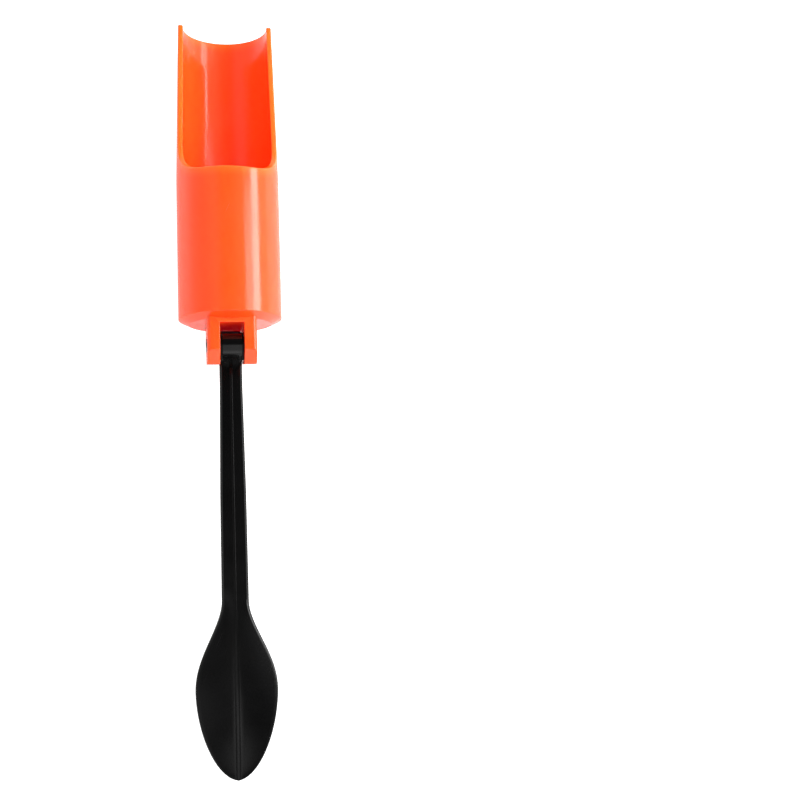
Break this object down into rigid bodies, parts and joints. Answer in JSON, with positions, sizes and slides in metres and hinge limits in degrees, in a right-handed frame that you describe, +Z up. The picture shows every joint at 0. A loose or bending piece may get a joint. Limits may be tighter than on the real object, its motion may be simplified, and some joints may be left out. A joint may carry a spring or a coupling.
{
  "type": "folding scoop trowel",
  "caption": "Hand digging scoop: an orange tube opening into a long gutter, hinged in a clevis to a black bar handle that ends in a leaf-shaped blade and folds over the gutter.",
  "frame": {"origin": "on the surface the tool lies on, under the middle of its whole length", "axes": "+Y along the tool toward the scoop's mouth, +Z up, the way the gutter faces when the tool lies on its back, X across it"},
  "size_m": [0.06, 0.4416, 0.06],
  "materials": {
    "orange_plastic": "smooth satin-gloss moulding",
    "black_plastic": "satin black moulding",
    "screw_steel": "plated",
    "nut_steel": "plated"
  },
  "bodies": {
    "scoop": {"scoop_tube": "orange_plastic", "pivot_screw": "screw_steel", "pivot_nut": "nut_steel"},
    "handle": {"handle": "black_plastic"}
  },
  "joints": [
    {"name": "fold", "type": "hinge", "parent": "scoop", "child": "handle", "pos_m": [0, 0.0242, 0.045], "axis": [-1, 0, 0], "range_deg": [0, 180]}
  ]
}
